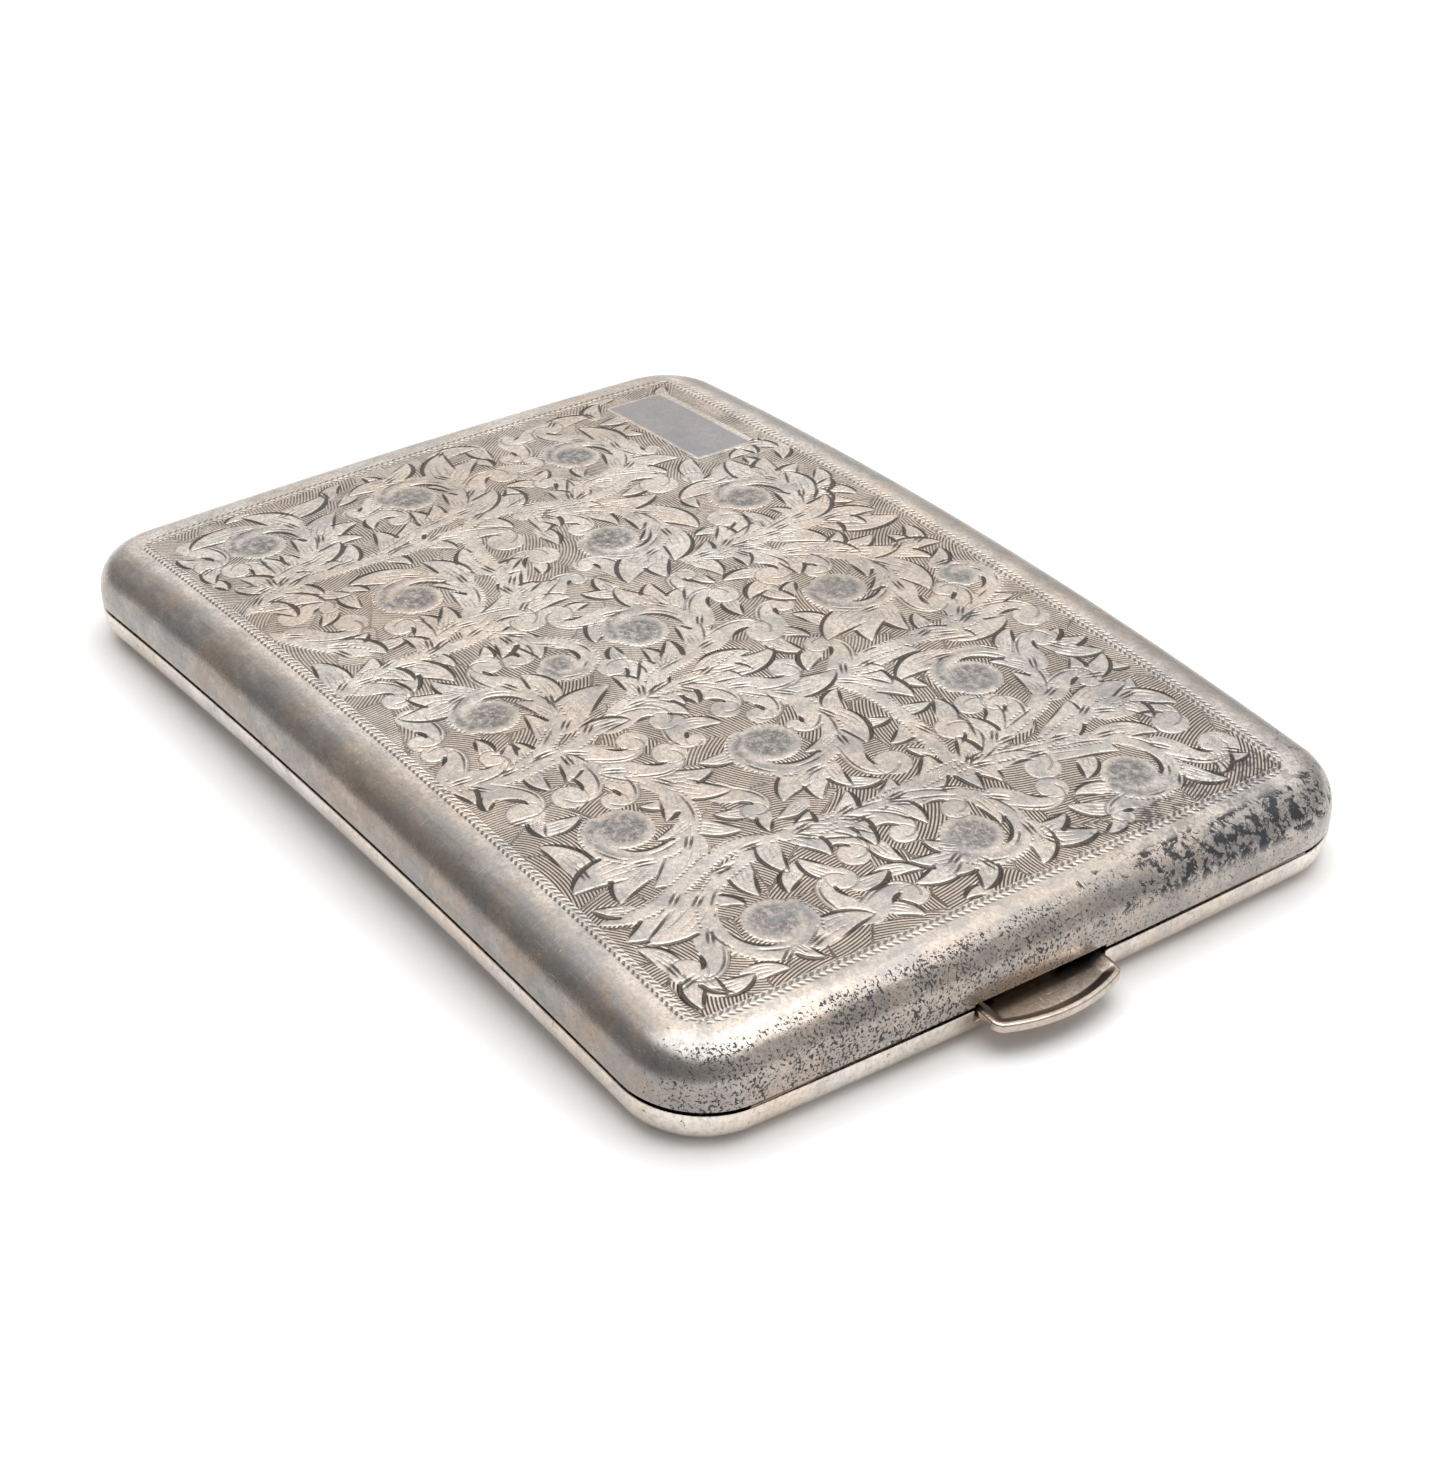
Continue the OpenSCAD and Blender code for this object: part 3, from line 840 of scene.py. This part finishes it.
def tarnish_and_dark_reflection(g, roll_film_and_reflection, grit):
    """The dark layer on the rolled edges, partly patina and partly a painted dark reflection: thin
    at the rubbed brink, at the rim and on the inside.
    """
    high, streak = g.attr("high"), g.noise(1.0, 6.0, 0.66, stretch=(0.35, 0.9, 0.5))
    beside = g.step(g.math("ABSOLUTE", g.y), 30.0, 31.6, 0.0, 0.85)
    down = g.math("MAXIMUM", g.step(high, 1.0, 0.965), beside)
    ends = g.step(g.math("ABSOLUTE", g.x), 44.0, 49.0)
    # thinner towards the seam, except on the ends: a painted reflection of the bright floor
    rim = g.times(g.step(high, 0.22, 0.05, 0.0, 0.45), g.math("SUBTRACT", 1.0, ends))
    lay = g.times(down, g.math("SUBTRACT", 1.0, rim))
    # thinner on the ends, most near the top of the roll: painted highlight
    ends_painted_highlight = g.times(ends, g.step(high, 0.35, 0.8, 0.45, 1.0))
    lay = g.times(lay, g.line(ends_painted_highlight, -0.62, roll_film_and_reflection))
    lay = g.times(lay, g.step(streak, 0.32, 0.62, 0.78, 1.06))
    lay = g.times(lay, g.line(g.attr("within"), -0.75, 1.0))
    clean = g.times(g.step(g.x, 38.0, 46.0), g.step(g.y, 4.0, 16.0, 0.0, 0.55))
    lay = g.times(lay, g.math("SUBTRACT", 1.0, clean))
    brown = g.mix(g.step(g.noise(0.11, 6.0, 0.65, 0.8), 0.42, 0.58), (0.235, 0.23, 0.225),
                  (0.33, 0.25, 0.19))
    brown = g.mix(g.times(ends, 0.6), brown, (0.42, 0.31, 0.235))
    # paints the dark layer on the rolls: patina, and a painted dark reflection
    g.paint(lay, g.mix(g.step(grit, 0.40, 0.60, 0.0, 0.38), brown, (0.12, 0.11, 0.105)))
    g.rough = g.line(lay, 0.06, g.rough)
    g.rough = g.line(g.step(high, 0.999, 0.96), -0.09, g.rough)


def latch_pits(g, bloom):
    """Fine black pits that crowd on the latch end and run together towards its far corner."""
    dust, blots, high = g.noise(3.9, 4.0, 0.66), g.noise(1.0, 9.0, 0.76, 0.35), g.attr("high")
    edge = g.times(g.step(high, 1.0, 0.95), g.step(g.x, 41.0, 47.0))
    near = g.line(g.step(g.y, 14.0, -6.0), 0.55, 0.45)
    crowd = g.times(g.times(edge, near), g.step(bloom, 0.36, 0.56, 0.6, 1.0))
    above = g.math("SUBTRACT", dust, g.line(crowd, -0.155, 0.68))
    pits = g.step(above, 0.0, 0.022, 0.0, 0.95)
    corner = g.times(g.step(g.x, 32.0, 46.0), g.step(g.y, 1.0, 15.0))
    corner = g.times(corner, g.step(g.y, 33.6, 28.0, 0.35, 1.0))
    band = g.times(g.step(high, 1.0, 0.985, 0.35, 1.0), g.step(high, 0.40, 0.62))
    above = g.math("SUBTRACT", blots, g.line(corner, -0.125, 0.60))
    blot = g.times(g.step(above, 0.0, 0.05), g.step(corner, 0.01, 0.2))
    blot = g.times(blot, band)
    fleck = g.times(g.step(dust, 0.50, 0.58, 0.0, 0.4), edge)
    g.paint(g.times(fleck, g.step(bloom, 0.38, 0.56, 0.3, 1.0)), (0.27, 0.23, 0.195))
    g.black = g.times(g.math("MAXIMUM", pits, blot), g.line(g.attr("within"), -0.9, 1.0))
    g.paint(g.times(corner, g.step(high, 1.0, 0.93, 0.05, 0.14)), (0.19, 0.195, 0.21))


def engraving(g, bloom, toward_latch):
    """Dirt in the hatched ground, the cuts and the dots, and stains on the raised work."""
    is_ground, is_cut = g.step(g.attr("ground"), -0.05, 0.07), g.step(g.attr("cut"), -0.06, 0.04)
    is_dot, is_fine = g.step(g.attr("dots"), -0.06, 0.05), g.step(g.attr("fine"), -0.06, 0.04)
    is_boss, is_plate = g.step(g.attr("boss"), -0.2, 0.8), g.step(g.attr("plate"), -0.05, 0.1)
    wave = g.math("SINE", g.times(g.attr("phase"), 2 * pi))
    hatch = g.times(g.step(wave, -0.35, 0.6), is_ground)
    shade = g.math("ADD", g.step(bloom, 0.35, 0.65, 0.55, 0.95), toward_latch, clamp=True)
    mottle, grain = g.noise(1.7, 7.0, 0.8, 0.2), g.noise(3.2, 5.0, 0.8)
    smudge = g.times(g.step(g.noise(0.16, 7.0, 0.7, 0.5), 0.45, 0.64),
                     g.step(mottle, 0.40, 0.60, 0.25, 0.8))
    g.paint(g.times(is_boss, g.step(mottle, 0.40, 0.56, 0.30, 1.0)), (0.15, 0.145, 0.145))
    g.paint(g.times(smudge, g.line(toward_latch, 1.6, 0.44)), (0.26, 0.255, 0.26))
    g.paint(g.times(is_plate, 0.75), (0.24, 0.25, 0.28))
    g.paint(g.times(g.step(grain, 0.45, 0.58), 0.5), (0.30, 0.285, 0.275))
    g.paint(g.times(is_ground, 0.4), (0.52, 0.43, 0.35))
    g.paint(g.times(hatch, shade), (0.095, 0.072, 0.058))
    g.paint(g.times(is_fine, 0.6), (0.18, 0.15, 0.13))
    g.paint(g.times(is_dot, 0.85), (0.13, 0.11, 0.095))
    g.paint(g.times(is_cut, 0.93), (0.06, 0.05, 0.042))
    for where, amount in ((grain, -0.10), (hatch, -0.5), (is_dot, -0.5), (is_cut, -0.6),
                          (is_fine, -0.5)):
        g.bump = g.line(where, amount, g.bump)
    g.rough = g.line(is_ground, 0.06, g.rough)


def silver(name, tone, dark, amount, rough, pits=0.3, roll_film_and_reflection=0.0, engraved=False):
    """Old silver: tone warms in clouds and goes to dark in the bloom, with pits and scratches.

    The argument after pits sets the dark layer on the rolled edges of a pressed shell: patina, and a
    painted dark reflection."""
    mat = bpy.data.materials.new(name)
    mat.use_nodes = True
    g = Nodes(mat.node_tree)
    g.millimetres()
    clouds, bloom = g.noise(0.07, 5.0, 0.6, 0.4), g.noise(0.3, 6.0, 0.68, 0.3)
    grit, specks = g.noise(2.2, 7.0, 0.8), g.noise(1.7, 8.0, 0.72, 0.15)
    hair = g.noise(1.0, 3.0, 0.6, stretch=(0.2, 6.0, 6.0))
    hair_across = g.noise(1.0, 3.0, 0.6, stretch=(7.0, 0.35, 0.35))
    warm = tuple(c * k for c, k in zip(tone, (0.93, 0.84, 0.76)))
    g.col = g.mix(g.step(clouds, 0.38, 0.64), tone, warm)
    # the lid's colour darkens towards the latch end
    toward_latch = g.step(g.x, -20.0, 40.0, 0.0, 0.35) if engraved else 0.0
    g.paint(g.math("ADD", g.step(bloom, 0.42, 0.70, 0.0, amount), toward_latch, clamp=True), dark)
    g.paint(g.times(g.step(grit, 0.44, 0.66), 0.45), tuple(c * 0.55 for c in dark))
    g.black = g.step(specks, 0.62, 0.67, 0.0, pits)
    scratch = g.math("ADD", g.step(hair, 0.62, 0.78), g.step(hair_across, 0.64, 0.8))
    g.rough = g.line(scratch, 0.06, g.line(bloom, 0.22, rough - 0.1))
    g.bump = g.line(grit, 0.14, g.times(scratch, -0.12))
    if roll_film_and_reflection:
        tarnish_and_dark_reflection(g, roll_film_and_reflection, grit)
    if engraved:
        latch_pits(g, bloom)
        engraving(g, bloom, toward_latch)
    g.finish()
    return mat


materials = {
    "lid_silver": silver("lid_silver_v", (0.88, 0.80, 0.72), (0.42, 0.40, 0.38), 0.6, 0.30, 0.3,
                         roll_film_and_reflection=0.86, engraved=True),
    "base_silver": silver("base_silver_v", (0.91, 0.855, 0.80), (0.44, 0.42, 0.40), 0.45, 0.24,
                          0.75, roll_film_and_reflection=0.15),
    "thumb_silver": silver("thumb_silver_v", (0.66, 0.60, 0.55), (0.34, 0.32, 0.30), 0.35, 0.22,
                           0.1),
    "rim_silver": silver("rim_silver_v", (0.66, 0.61, 0.56), (0.36, 0.34, 0.32), 0.4, 0.28, 0.2),
    "hinge_silver": silver("hinge_silver_v", (0.56, 0.50, 0.46), (0.25, 0.24, 0.23), 0.5, 0.3, 0.5),
    "catch_silver": silver("catch_silver_v", (0.56, 0.53, 0.50), (0.28, 0.27, 0.26), 0.5, 0.32,
                           0.4),
    "pin_steel": silver("pin_steel_v", (0.46, 0.46, 0.47), (0.20, 0.19, 0.18), 0.5, 0.25, 0.4),
    "spring_steel": silver("spring_steel_v", (0.38, 0.41, 0.48), (0.22, 0.20, 0.24), 0.5, 0.22,
                           0.2),
}

# ---- the three pieces made here, and the CAD nodes that are kept ----
pieces = {"lid_shell": (lid, "lid", "lid_silver"),
          "base_shell": (base, "base", "base_silver"),
          "thumb_piece": (thumb, "catch", "thumb_silver")}
for node, (ob, rides_on, slot) in pieces.items():
    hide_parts(node)
    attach(ob, rides_on)
    ob.data.materials.append(materials[slot])
slots = {s["node"]: s["material_slot"] for s in frame["record"]["subparts"]}
for node, ob in frame["nodes"].items():
    if node not in pieces:
        ob.data.materials.clear()
        ob.data.materials.append(materials[slots[node]])

# ---- floor and light ----
fm = bpy.data.meshes.new("floor")
fm.from_pydata([(-3, -3, 0), (3, -3, 0), (3, 3, 0), (-3, 3, 0)], [], [(0, 1, 2, 3)])
floor = link_new("floor", fm)
paper = bpy.data.materials.new("floor_white")
paper.use_nodes = True
g = Nodes(paper.node_tree)
diffuse = g.fill(g.new("ShaderNodeBsdfDiffuse"), (0.90, 0.90, 0.90))
g.put(g.new("ShaderNodeOutputMaterial").inputs[0], diffuse)
fm.materials.append(paper)

world = bpy.data.worlds.new("studio")
bpy.context.scene.world = world
world.use_nodes = True
w = Nodes(world.node_tree)
around = w.new("ShaderNodeTexCoord").outputs["Generated"]
level = 0.34
# soft patches of light: the way to each, how narrow it is and how strong
for direction, narrow, amount in (((-0.66, 0.50, 0.52), 3.2, 0.72),
                                  ((-0.05, 0.25, 1.0), 7.0, 0.95),
                                  ((0.8, 0.4, 0.35), 4.0, 0.3)):
    dot = w.new("ShaderNodeVectorMath", operation="DOT_PRODUCT")
    w.put(dot.inputs[0], around)
    w.put(dot.inputs[1], Vector(direction).normalized())
    fall = w.math("SUBTRACT", dot.outputs["Value"], 1.0)
    patch = w.math("EXPONENT", w.times(fall, narrow))
    level = w.math("ADD", w.times(patch, amount), level)
background = w.fill(w.new("ShaderNodeBackground"), (1.0, 0.995, 0.985), level)
w.put(w.new("ShaderNodeOutputWorld").inputs[0], background)

softbox = bpy.data.lights.new("overhead", "AREA")
softbox.shape, softbox.size, softbox.size_y, softbox.energy = "RECTANGLE", 0.6, 0.6, 2.6
lamp = link_new("overhead", softbox)
lamp.location = (0.03, 0.0, 0.6)
lamp.rotation_euler = (-lamp.location).to_track_quat("-Z", "Y").to_euler()

# ---- camera ----
LENS, SENSOR = 75.2, 36
AZIMUTH, ELEVATION, ROLL = radians(55.03), radians(32.2), radians(-0.725)
DISTANCE = 0.2661
cam = bpy.data.cameras.new("camera")
cam.lens, cam.sensor_width = LENS, SENSOR
cam.shift_x, cam.shift_y = -0.0148, 0.0016
cam.clip_start, cam.clip_end = 0.01, 20
camera = link_new("camera", cam)
bpy.context.scene.camera = camera
back = Vector((sin(AZIMUTH) * cos(ELEVATION), -cos(AZIMUTH) * cos(ELEVATION), sin(ELEVATION)))
level_right = Vector((cos(AZIMUTH), sin(AZIMUTH), 0))
level_up = back.cross(level_right)
right = level_right * cos(ROLL) + level_up * sin(ROLL)
up = level_up * cos(ROLL) - level_right * sin(ROLL)
target = Vector((SX * MM + 0.00634, 0.00236, (BZ + RB) * MM - 0.00357))
spot = target + back * DISTANCE
camera.matrix_world = Matrix(((right.x, up.x, back.x, spot.x), (right.y, up.y, back.y, spot.y),
                              (right.z, up.z, back.z, spot.z), (0, 0, 0, 1)))
bpy.context.scene.view_settings.view_transform = "Standard"
